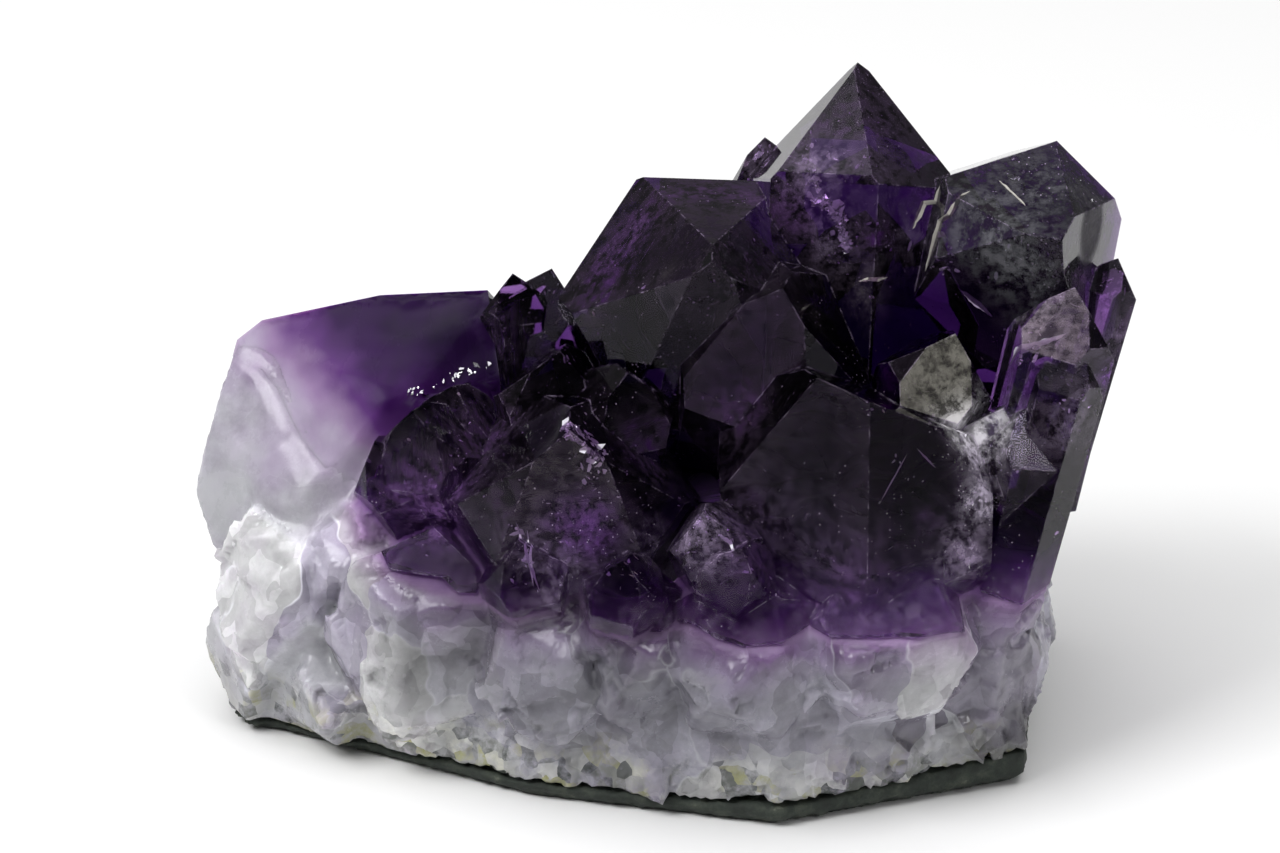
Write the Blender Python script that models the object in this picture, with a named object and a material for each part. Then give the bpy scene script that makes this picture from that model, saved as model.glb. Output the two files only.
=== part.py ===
"""An amethyst cluster: clear purple crystals on a bed of milky quartz, on a thin skin of dark host rock.

Metres, +Z up, the front toward -Y. The tables give lengths in millimetres and angles in degrees.
Every crystal, broken block and lump is a convex body cut by planes. All of them are joined into one
stone, which two uneven surfaces then part into rock, quartz and amethyst.
"""

import math
from typing import NamedTuple

import bmesh
import bpy
import numpy as np
from mathutils import Vector

MM = 0.001
GAP = 0.4 * MM  # between two pieces that touch, measured straight up

# Quartz: the faces of the point stand this far from the crystal's long axis.
POINT_FACE_ANGLE = math.radians(51.79)
SIDES = 6

BLANK = 400 * MM  # the cube that every convex body is cut from
WELD = 0.02 * MM
GOLDEN_ANGLE = math.pi * (3 - math.sqrt(5))


class Crystal(NamedTuple):
    """One six-sided quartz crystal.

    tip is its point, lean its angle from upright, bearing the compass direction of the lean
    (0 right, -90 front), turn its rotation about its own axis. small_faces makes every second face of
    the point smaller, and smaller does so face by face, both as a share of the radius. flanks moves each
    side face in or out.
    """

    tip: tuple
    lean: float
    bearing: float
    turn: float
    radius: float
    length: float
    small_faces: float = 0.2
    flanks: tuple = (1, 1, 1, 1, 1, 1)
    smaller: tuple = (0, 0, 0, 0, 0, 0)


class Lump(NamedTuple):
    """One rounded lump of milky quartz with flat broken faces."""

    centre: tuple
    half_size: tuple
    turn: float
    seed: int
    faces: int = 18


# The large points, from the back of the cluster to the front.
SPIRE = Crystal((22.8, 50, 76.6), 22, 82, -49, 11.3, 60, 0.05)
SPIRE_SIDE = Crystal((12, 52, 66.4), 19, 129, 10, 5, 40)
SMOKY = Crystal((45, 24, 64.5), 65, -72, -12, 12.5, 28, 0.12, (1.1, 1.03, 0.84, 0.85, 1, 1))
DOME = Crystal((5.1, 18, 64.3), 49, -90, 28, 14.5, 36, 0.07, (1.42, 1.17, 1.13, 1, 1, 1.1))
DARK = Crystal((13.1, 18, 61.1), 36, -81, 10, 11, 40, 0.15)
FRONT_RIGHT = Crystal(
    (22.6, 8, 51.6), 31, -90, -60, 15, 34, 0, (1, 0.97, 1, 1.25, 1.1, 1), (0, 0.2, 0, 0.37, 0.3, 0)
)
FRONT_LEFT = Crystal((-10.9, 10, 47.2), 35, -90, 30, 12.5, 32, 0.15, (1.06, 1, 1.06, 1, 1, 1))
LARGE = [SPIRE, SPIRE_SIDE, SMOKY, DOME, DARK, FRONT_RIGHT, FRONT_LEFT]

# The smaller points between them and along the front.
SMALL = [
    Crystal((-13.5, 42, 53.5), 10, 26, 15, 5.5, 30),
    Crystal((-18.1, 40, 53.7), 5, 180, 40, 4, 26),
    Crystal((-12.3, 26, 49.9), 20, -90, 20, 7, 30),
    Crystal((-4.4, 20, 49.8), 26, -75, 50, 6, 30),
    Crystal((4.1, 6, 38.9), 29, -117, 30, 4.8, 20),
    Crystal((8.4, 3, 35.9), 31, -79, 0, 4.5, 20),
    Crystal((-4.7, 3, 34.4), 25, -90, 10, 4.5, 20),
    Crystal((-16.6, 8, 34.4), 26, -105, 40, 5, 20),
    Crystal((-29.3, 22, 44.1), 26, -124, 10, 6, 26),
    Crystal((-33.8, 23, 39.8), 29, -142, 40, 5, 26),
    Crystal((-24.6, 28, 44.6), 15, -90, 0, 5.5, 26),
]

# The points on the right flank, nearly upright and side by side.
RIGHT_FLANK = [
    Crystal((46.7, 24, 58.7), 12, 22, 10, 5.6, 26),
    Crystal((53.1, 36, 57.3), 14, 18, 0, 3.1, 30),
    Crystal((46.5, 20, 53.5), 17, 35, 20, 4.2, 34),
    Crystal((42.1, 17, 47.7), 10, -32, 40, 5, 30),
    Crystal((32.8, 19, 55.1), 22, -47, 20, 6, 24),
    Crystal((38.4, 17, 46.7), 18, -59, 15, 6, 28),
]

# The points behind, which close the back of the cluster.
BACK = [
    Crystal((-28, 55, 41), 27, 113, 10, 8, 36),
    Crystal((-9, 58, 46), 28, 94, 35, 9, 40),
    Crystal((8, 62, 49), 30, 84, 20, 7.5, 36),
    Crystal((27, 59, 54), 27, 76, 5, 9, 46),
    Crystal((42, 52, 46), 33, 51, 30, 8, 40),
    Crystal((42, 38, 36), 25, 13, 15, 5.5, 30),
    Crystal((-4, 44, 52), 8, 135, 15, 8, 40),
    Crystal((14, 58, 60), 24, 84, 45, 7, 44),
    Crystal((-20, 47, 42), 14, 127, 50, 7, 34),
    Crystal((36, 48, 58), 23, 45, 20, 6.5, 40),
]

# The left end is one large crystal broken across; these are the corners of what is left of it.
BROKEN_BLOCK = [
    (-48.3, 42, 46.8), (-34.2, 44, 49.2), (-21.2, 42, 50.7), (-51.2, 40, 45.1),
    (-55, 34, 33.3), (-56.2, 33, 28.5), (-53.9, 30, 22.6), (-42.9, 24, 31.6),
    (-31.1, 29, 43.2), (-19.6, 34, 42.5), (-39.6, 24, 23.7), (-19.6, 25, 23.2),
    (-49, 45, 4), (-12, 54, 4), (-44, 54, 30), (-14, 58, 34),
]

# The lumps of the bed along the front, then round the back and the ends.
LUMPS = [
    Lump((-44.2, 28, 17.6), (8.6, 8, 13), -20, 3),
    Lump((-47.5, 31, 8.5), (6, 8, 9), -20, 13, 16),
    Lump((-27.7, 19, 16.3), (11.5, 8, 13), -15, 5),
    Lump((-37.9, 25, 6.6), (7, 8, 6.5), -15, 15, 16),
    Lump((-13.2, 12, 16.8), (8, 7, 10), -10, 6, 16),
    Lump((-2.4, 9, 19.5), (6.2, 6, 10.5), -10, 7, 16),
    Lump((9.6, 7, 20.1), (9.6, 7, 11), 5, 8),
    Lump((24.6, 9, 21), (10.5, 8, 10), 10, 9),
    Lump((36.4, 18, 14.2), (7, 8, 13), 20, 10),
    Lump((-36.9, 27, 22.8), (6.5, 7, 9), -20, 11, 16),
    Lump((37.4, 20, 25.7), (7, 7, 9), 20, 12, 16),
    Lump((-38, 50, 18), (9, 6, 14), 30, 21),
    Lump((-20, 55, 15), (11, 5.5, 12), 10, 22),
    Lump((0, 58, 17), (10, 5.5, 14), 0, 23),
    Lump((20, 56, 15), (11, 5.5, 12), -10, 24),
    Lump((36, 50, 17), (9, 6.5, 14), -35, 25),
    Lump((40.5, 36, 14), (5.5, 10, 11), 0, 26),
    Lump((-46, 40, 16), (5, 9, 13), 0, 27),
]
LUMP_BITE = 0.08  # how far a broken face may cut into a lump, as a share of its size
LUMP_WANDER = 0.35
LUMP_TILT = 0.2

# The outline of the flat underside, from the left end along the front and back round behind.
FOOTPRINT = [
    (-52.8, 27.1), (-31.7, 18.6), (-15.9, 8.6), (13.2, 2), (27.5, 8.6), (42.4, 12.1),
    (45, 34), (39, 54), (0, 60), (-37, 54), (-50, 42),
]
FOOT_CENTRE = (-3, 31)
# Height of each ring of the massive bed, with its share of the footprint.
FOOT_RINGS = [(0, 0.95), (1.5, 1), (15, 0.985), (26, 0.9)]

# The two parting surfaces are drawn on one grid that is wider than the stone.
GRID_LEFT, GRID_RIGHT, GRID_FRONT, GRID_BACK = -72, 72, -16, 88
GRID_STEP = 8
GRID_TOP = 140


def front_line(x):
    """How far back the front edge of the stone lies at x."""
    xs = [GRID_LEFT, *[p[0] for p in FOOTPRINT[:6]], GRID_RIGHT]
    ys = [FOOTPRINT[0][1], *[p[1] for p in FOOTPRINT[:6]], FOOTPRINT[5][1]]
    return float(np.interp(x, xs, ys))


def ripple(x, y, seed):
    """A small unevenness, within 1 of zero."""
    return math.sin(0.31 * x + seed) * math.cos(0.27 * y - 1.7 * seed)


def rock_top(x, y):
    """The surface between the host rock and the quartz: thin at the left, thick at the right and behind."""
    front = float(np.interp(x, [-52, -10, 15, 42], [1.6, 2.4, 2.8, 4.6]))
    behind = max(0.0, y - front_line(x) - 12)
    return front + 0.0045 * behind**2 + 0.4 * ripple(x, y, 2)


def quartz_top(x, y):
    """The surface between the milky quartz and the amethyst: nearly level, but it climbs to the left."""
    inward = min(max(y - front_line(x), 0.0), 20.0)
    left = min(max((-27 - x) / 24, 0.0), 1.0)
    return 25 + 0.2 * inward + 16 * left * left * (3 - 2 * left) + 0.9 * ripple(x, y, 5)


def unit(vector):
    return vector / np.linalg.norm(vector)


def crystal_planes(crystal):
    """The planes of a crystal as outward normals and distances from the origin, in millimetres."""
    tip = np.array(crystal.tip, float)
    lean, bearing = math.radians(crystal.lean), math.radians(crystal.bearing)
    sideways = math.sin(lean)
    axis = np.array([sideways * math.cos(bearing), sideways * math.sin(bearing), math.cos(lean)])
    right = np.array([1.0, 0.0, 0.0])
    across = unit(right - (right @ axis) * axis)
    upward = np.cross(axis, across)
    planes = [(-axis, -axis @ tip + crystal.length)]
    for side in range(SIDES):
        angle = math.radians(crystal.turn) + side * 2 * math.pi / SIDES
        outward = math.cos(angle) * across + math.sin(angle) * upward
        planes.append((outward, outward @ tip + crystal.radius * crystal.flanks[side]))
        shift = crystal.radius * (crystal.small_faces * (side % 2) + crystal.smaller[side])
        face = math.sin(POINT_FACE_ANGLE) * outward + math.cos(POINT_FACE_ANGLE) * axis
        planes.append((face, face @ tip + shift))
    return planes


def lump_planes(lump):
    """The planes of a lump: spread evenly over an ellipsoid, then nudged."""
    chance = np.random.default_rng(lump.seed)
    turn = math.radians(lump.turn)
    spin = np.array([[math.cos(turn), -math.sin(turn), 0], [math.sin(turn), math.cos(turn), 0], [0, 0, 1]])
    half_size = np.array(lump.half_size, float)
    planes = []
    for number in range(lump.faces):
        height = 1 - 2 * (number + 0.5) / lump.faces
        angle = GOLDEN_ANGLE * number + chance.uniform(-LUMP_WANDER, LUMP_WANDER)
        ring = math.sqrt(1 - height * height)
        nudge = chance.uniform(-LUMP_TILT, LUMP_TILT, 3)
        normal = unit(np.array([ring * math.cos(angle), ring * math.sin(angle), height]) + nudge)
        reach = np.linalg.norm(half_size * normal) * (1 - chance.uniform(0, LUMP_BITE))
        outward = spin @ normal
        planes.append((outward, outward @ np.array(lump.centre, float) + reach))
    return planes


def body_from_planes(planes):
    """A cube cut down to the room inside all the planes."""
    body = bmesh.new()
    bmesh.ops.create_cube(body, size=BLANK)
    for normal, distance in planes:
        outward = Vector(normal)
        geometry = body.verts[:] + body.edges[:] + body.faces[:]
        cut = bmesh.ops.bisect_plane(
            body, geom=geometry, plane_co=outward * distance * MM, plane_no=outward, clear_outer=True
        )
        rim = [item for item in cut["geom_cut"] if isinstance(item, bmesh.types.BMEdge)]
        if rim:
            bmesh.ops.contextual_create(body, geom=rim)
    return body


def body_from_corners(corners):
    """The convex body with these corners, given in millimetres."""
    body = bmesh.new()
    for corner in corners:
        body.verts.new(Vector(corner) * MM)
    bmesh.ops.convex_hull(body, input=body.verts[:])
    loose = [vertex for vertex in body.verts if not vertex.link_faces]
    bmesh.ops.delete(body, geom=loose, context="VERTS")
    return body


def foot_corners():
    """The corners of the massive bed: the footprint at several heights."""
    corners = []
    for height, share in FOOT_RINGS:
        for x, y in FOOTPRINT:
            inset_x = FOOT_CENTRE[0] + (x - FOOT_CENTRE[0]) * share
            inset_y = FOOT_CENTRE[1] + (y - FOOT_CENTRE[1]) * share
            corners.append((inset_x, inset_y, height))
    return corners


def body_above(surface, lift):
    """A closed block that fills the room above a parting surface, which is raised by lift."""
    body = bmesh.new()
    xs = np.arange(GRID_LEFT, GRID_RIGHT + 1, GRID_STEP)
    ys = np.arange(GRID_FRONT, GRID_BACK + 1, GRID_STEP)
    low = [[body.verts.new((x * MM, y * MM, surface(x, y) * MM + lift)) for y in ys] for x in xs]
    for column in range(len(xs) - 1):
        for row in range(len(ys) - 1):
            near, far = low[column], low[column + 1]
            body.faces.new((near[row], near[row + 1], far[row + 1]))
            body.faces.new((near[row], far[row + 1], far[row]))
    rim = [column[0] for column in low] + low[-1][1:]
    rim += [column[-1] for column in low[-2::-1]] + low[0][-2:0:-1]
    lid = [body.verts.new((vertex.co.x, vertex.co.y, GRID_TOP * MM)) for vertex in rim]
    for here in range(len(rim)):
        after = (here + 1) % len(rim)
        body.faces.new((rim[here], rim[after], lid[after], lid[here]))
    body.faces.new(lid)
    bmesh.ops.recalc_face_normals(body, faces=body.faces[:])
    return body


def as_object(name, body):
    """Puts a mesh into the scene as an object."""
    mesh = bpy.data.meshes.new(name)
    body.to_mesh(mesh)
    body.free()
    made = bpy.data.objects.new(name, mesh)
    bpy.context.scene.collection.objects.link(made)
    return made


def boolean(name, first, second, operation):
    """A new object: the first one joined to, kept inside or cut by the second."""
    step = first.modifiers.new(operation, "BOOLEAN")
    step.operation = operation
    step.solver = "EXACT"
    step.object = second
    graph = bpy.context.evaluated_depsgraph_get()
    mesh = bpy.data.meshes.new_from_object(first.evaluated_get(graph))
    first.modifiers.remove(step)
    made = bpy.data.objects.new(name, mesh)
    bpy.context.scene.collection.objects.link(made)
    return made


def joined(name, bodies):
    """All the bodies as one object."""
    whole = as_object(name, bodies[0])
    for body in bodies[1:]:
        addition = as_object("addition", body)
        result = boolean(name, whole, addition, "UNION")
        bpy.data.objects.remove(whole)
        bpy.data.objects.remove(addition)
        whole = result
    return whole


def islands(body):
    """The connected parts of a mesh, as lists of vertices, the largest first."""
    waiting = set(body.verts)
    found = []
    while waiting:
        reached = [waiting.pop()]
        for vertex in reached:
            for edge in vertex.link_edges:
                other = edge.other_vert(vertex)
                if other in waiting:
                    waiting.remove(other)
                    reached.append(other)
        found.append(reached)
    return sorted(found, key=len, reverse=True)


def tidy(made):
    """Welds the seams of the cuts and drops the crumbs that a cut leaves loose."""
    body = bmesh.new()
    body.from_mesh(made.data)
    bmesh.ops.remove_doubles(body, verts=body.verts[:], dist=WELD)
    for crumb in islands(body)[1:]:
        bmesh.ops.delete(body, geom=crumb, context="VERTS")
    bmesh.ops.dissolve_degenerate(body, dist=WELD, edges=body.edges[:])
    bmesh.ops.triangulate(body, faces=body.faces[:])
    bmesh.ops.recalc_face_normals(body, faces=body.faces[:])
    body.to_mesh(made.data)
    body.free()


def material(name, colour, roughness, transmission=0.0):
    """A plain Principled material."""
    made = bpy.data.materials.new(name)
    made.use_nodes = True
    shader = made.node_tree.nodes["Principled BSDF"]
    shader.inputs["Base Color"].default_value = (*colour, 1)
    shader.inputs["Roughness"].default_value = roughness
    shader.inputs["Transmission Weight"].default_value = transmission
    shader.inputs["IOR"].default_value = 1.54
    return made


def whole_stone():
    """Every crystal, block and lump grown together."""
    bodies = [body_from_corners(foot_corners()), body_from_corners(BROKEN_BLOCK)]
    bodies += [body_from_planes(lump_planes(lump)) for lump in LUMPS]
    bodies += [body_from_planes(crystal_planes(c)) for c in LARGE + SMALL + RIGHT_FLANK + BACK]
    stone = joined("stone", bodies)
    floor = as_object("floor", body_above(lambda x, y: 0.0, 0.0))
    standing = boolean("standing stone", stone, floor, "INTERSECT")
    bpy.data.objects.remove(stone)
    bpy.data.objects.remove(floor)
    return standing


def centre_on_floor(pieces, around):
    """Moves the pieces so that the middle of the stone's box stands over the origin."""
    corners = np.array([vertex.co for vertex in around.data.vertices])
    middle = (corners.min(axis=0) + corners.max(axis=0)) / 2
    for piece in pieces:
        for vertex in piece.data.vertices:
            vertex.co.x -= middle[0]
            vertex.co.y -= middle[1]


def build():
    for old in list(bpy.data.objects):
        bpy.data.objects.remove(old)
    stone = whole_stone()

    over_rock = as_object("room over the rock", body_above(rock_top, GAP / 2))
    under_rock = as_object("room down to the rock", body_above(rock_top, -GAP / 2))
    over_quartz = as_object("room over the quartz", body_above(quartz_top, GAP / 2))
    under_quartz = as_object("room down to the quartz", body_above(quartz_top, -GAP / 2))

    rind = boolean("basalt_rind", stone, under_rock, "DIFFERENCE")
    upper = boolean("quartz and amethyst", stone, over_rock, "INTERSECT")
    bed = boolean("quartz_bed", upper, under_quartz, "DIFFERENCE")
    crystals = boolean("amethyst_crystals", upper, over_quartz, "INTERSECT")

    pieces = [rind, bed, crystals]
    for piece in pieces:
        tidy(piece)
    centre_on_floor(pieces, stone)
    for helper in (stone, upper, over_rock, under_rock, over_quartz, under_quartz):
        bpy.data.objects.remove(helper)

    rind.data.materials.append(material("dark altered basalt", (0.05, 0.07, 0.055), 0.85))
    bed.data.materials.append(material("milky quartz", (0.74, 0.73, 0.76), 0.35, 0.2))
    crystals.data.materials.append(material("amethyst", (0.3, 0.13, 0.5), 0.05, 0.9))


build()
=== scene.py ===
import math

import bmesh
import bpy
import numpy as np
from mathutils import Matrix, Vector, noise
from mathutils.bvhtree import BVHTree
from mathutils.kdtree import KDTree

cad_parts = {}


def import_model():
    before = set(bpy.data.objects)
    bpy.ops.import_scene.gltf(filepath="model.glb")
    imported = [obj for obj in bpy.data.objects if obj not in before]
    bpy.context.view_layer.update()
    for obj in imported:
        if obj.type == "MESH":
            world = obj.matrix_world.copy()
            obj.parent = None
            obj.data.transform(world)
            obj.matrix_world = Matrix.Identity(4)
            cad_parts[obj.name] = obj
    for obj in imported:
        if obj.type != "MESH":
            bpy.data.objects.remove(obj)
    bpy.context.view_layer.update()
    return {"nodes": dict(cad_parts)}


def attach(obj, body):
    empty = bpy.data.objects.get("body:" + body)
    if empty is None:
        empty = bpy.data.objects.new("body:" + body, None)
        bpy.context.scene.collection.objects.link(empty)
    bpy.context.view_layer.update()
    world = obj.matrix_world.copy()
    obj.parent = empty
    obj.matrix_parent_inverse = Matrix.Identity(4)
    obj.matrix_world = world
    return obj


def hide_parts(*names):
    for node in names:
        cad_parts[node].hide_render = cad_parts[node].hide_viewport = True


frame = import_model()

# The milky quartz bed. It is the first quartz that grew on the rock: cloudy, nearly white, broken
# into blunt lumps along the front, and granular with dirt at its foot. The purple begins in its
# upper part, and its cloudy roots rise a little way inside the clear crystals.
MM = 0.001
# The bed's front edge, seen from above. Lengths and places are in millimetres.
FRONT_X = [-71.5, -52.3, -31.2, -15.4, 13.7, 28.0, 42.9, 72.5]
FRONT_Y = [-5.75, -5.75, -14.25, -24.25, -30.85, -24.25, -20.75, -20.75]
# A spot on each face of the broken block at the left end.
BLOCK_SPOTS = [
    (-33, 5, 47), (-38, -5, 38), (-49, -1, 36), (-23, 0, 44), (-21, 0, 42),
    (-36, -7, 35), (-43, 4, 45), (-51, -3, 28), (-51, -3, 31), (-34, 10, 49),
]
BLOCK_END = -17.5  # the block lies to the left of this
OUTSIDE = -9.0  # what block_depth gives everywhere else
ROOT_HEIGHT = 25  # where the milky quartz ends at the front edge
ROOT_SLOPE = 0.2  # its rise for each millimetre further back
BLOCK_RISE = 16  # its extra rise towards the left end
ROOT_WAVE = 0.9  # how far it wavers
ROOT_TOP = 4.5  # how far the cloudy roots rise into the clear crystals
SEAM = 0.45  # closes the gap that parts the two solids
UNDER = 0.3  # how far the roots stay below the clear crystals' faces
GRAIN = 0.6  # between points of the worked surface


def smooth(value):
    value = np.clip(value, 0, 1)
    return value * value * (3 - 2 * value)


def root_height(x, y):
    """Where the milky quartz gives way to amethyst, in millimetres above the table."""
    inward = np.clip(y - np.interp(x, FRONT_X, FRONT_Y), 0, 20)
    wave = ROOT_WAVE * np.sin(0.31 * (x - 0.5) + 5) * np.cos(0.27 * (y + 32.85) - 8.5)
    return ROOT_HEIGHT + ROOT_SLOPE * inward + BLOCK_RISE * smooth((-26.5 - x) / 24) + wave


def block_faces():
    """The planes of the broken block, read from the solids at its spots: outward normal and distance."""
    corners, faces = [], []
    for node in ("amethyst_crystals", "quartz_bed"):
        solid, first = frame["nodes"][node].data, len(corners)
        corners += [corner.co / MM for corner in solid.vertices]
        faces += [[first + corner for corner in face.vertices] for face in solid.polygons]
    solids = BVHTree.FromPolygons(corners, faces)
    planes = []
    for spot in BLOCK_SPOTS:
        place, normal = solids.find_nearest(Vector(spot))[:2]
        planes.append((np.array(normal), normal.dot(place)))
    return planes


BLOCK_FACES = block_faces()


def block_depth(points):
    """How far inside the broken block each point lies; below zero in front of it."""
    depth = np.full(len(points), np.inf)
    for normal, distance in BLOCK_FACES:
        depth = np.minimum(depth, distance - points @ normal)
    return np.where(points[:, 0] < BLOCK_END, depth, OUTSIDE)


def block_share(points):
    """From 0, away from the broken block, to 1, in it and on its faces."""
    return smooth((block_depth(points) + 1.2) / 0.8)


def cloud(points, size, seed):
    """Smooth noise from -1 to 1, with features of that size in millimetres."""
    shift = Vector((seed * 7.3, seed * 3.1, seed * 5.7))
    return np.array([noise.noise(Vector(p) / size + shift) for p in points])


def purple(points):
    """From 0, milky white, to 1, the darkest amethyst."""
    x, y, z = points.T
    above = z - root_height(x, y)
    rising = smooth((above + 8.5) / 20)
    across = 0.5 * ((x + 54.4) / 35.4 + (z - 27.3) / 24.7) - 0.14
    across = np.interp(across, [0, 0.3, 0.58, 0.75], [0.02, 0.3, 0.88, 1.0])
    share = block_share(points)
    amount = rising * (1 - share) + np.clip(across, 0, 1) * share
    return np.clip(amount + 0.12 * cloud(points, 6, 1) + 0.06 * cloud(points, 2, 2), 0, 1)


def milkiness_and_shade(points):
    """How bright the quartz is, partly its own tone and partly painted shade that falls away from the
    light on the left: snowy at the left end, darkest near the middle, paler at the right.
    """
    x, y, z = points.T
    along = np.interp(x, [-52, -38, -29, -12, 1, 12, 30, 42], [1.5, 1.5, 0.48, 0.39, 0.42, 0.65, 1.0, 1.0])
    low = smooth((14 - z) / 8) * np.interp(x, [-40, -30, -15, 20, 40], [0.0, 0.6, 0.35, 0.1, -0.65])
    bright = np.clip(along + low + 0.10 * cloud(points, 7, 31) + 0.06 * cloud(points, 2.5, 32), 0.12, 1.5)
    share = block_share(points)
    return bright * (1 - share) + (0.68 + 0.05 * cloud(points, 4, 33)) * share


def hollows(mesh, points, outward, rounds):
    """How deep each point lies in a dent, in millimetres, by comparing it with an evened-out skin."""
    ends = np.empty(2 * len(mesh.edges), dtype=np.int32)
    mesh.edges.foreach_get("vertices", ends)
    first, last = ends.reshape(-1, 2).T
    both, other = np.concatenate([first, last]), np.concatenate([last, first])
    count = np.bincount(both, minlength=len(points))
    even = points.copy()
    for _ in range(rounds):
        around = np.column_stack([np.bincount(both, even[other, k], len(points)) for k in range(3)])
        even = 0.5 * even + 0.5 * around / np.maximum(count, 1)[:, None]
    return np.einsum("ij,ij->i", even - points, outward)


def broken_facets(points, size, tilt, seed):
    """Small flat facets at odd angles, as quartz breaks: a height for each point, in millimetres."""
    rng = np.random.default_rng(seed)
    low, high = points.min(0) - size, points.max(0) + size
    count = int(np.prod((high - low) / size))
    seeds = rng.uniform(low, high, (count, 3))
    slope = rng.normal(0, tilt, (count, 3))
    step = rng.uniform(-0.05, 0.05, count) * size
    tree = KDTree(count)
    for i, place in enumerate(seeds):
        tree.insert(place, i)
    tree.balance()
    near = np.array([tree.find(p)[1] for p in points])
    return np.einsum("ij,ij->i", slope[near], points - seeds[near]) + step[near]


def copied(name, *parts):
    """One object made of copies of CAD meshes, each given with how far it is lifted."""
    body = bmesh.new()
    for node, lift in parts:
        before = len(body.verts)
        body.from_mesh(frame["nodes"][node].data)
        body.verts.ensure_lookup_table()
        bmesh.ops.translate(body, vec=(0, 0, lift * MM), verts=body.verts[before:])
    bmesh.ops.remove_doubles(body, verts=body.verts[:], dist=1e-6)
    mesh = bpy.data.meshes.new(name)
    body.to_mesh(mesh)
    body.free()
    made = bpy.data.objects.new(name, mesh)
    bpy.context.scene.collection.objects.link(made)
    return made


def worked_skin(made, size):
    """Remake the surface of the object as one even skin, with points that many millimetres apart."""
    skin = made.modifiers.new("skin", "REMESH")
    skin.mode = "VOXEL"
    skin.voxel_size = size * MM
    graph = bpy.context.evaluated_depsgraph_get()
    mesh = bpy.data.meshes.new_from_object(made.evaluated_get(graph))
    made.modifiers.clear()
    made.data = mesh


def numbers(collection, name, width=3):
    """One row for each item of the collection."""
    flat = np.empty(len(collection) * width)
    collection.foreach_get(name, flat)
    return flat.reshape(-1, width)


def move_to(mesh, points):
    mesh.vertices.foreach_set("co", (points * MM).ravel())
    mesh.update()


def record(mesh, name, values):
    mark = mesh.attributes.new(name, "FLOAT", "POINT")
    mark.data.foreach_set("value", np.asarray(values, dtype=np.float32))


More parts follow.
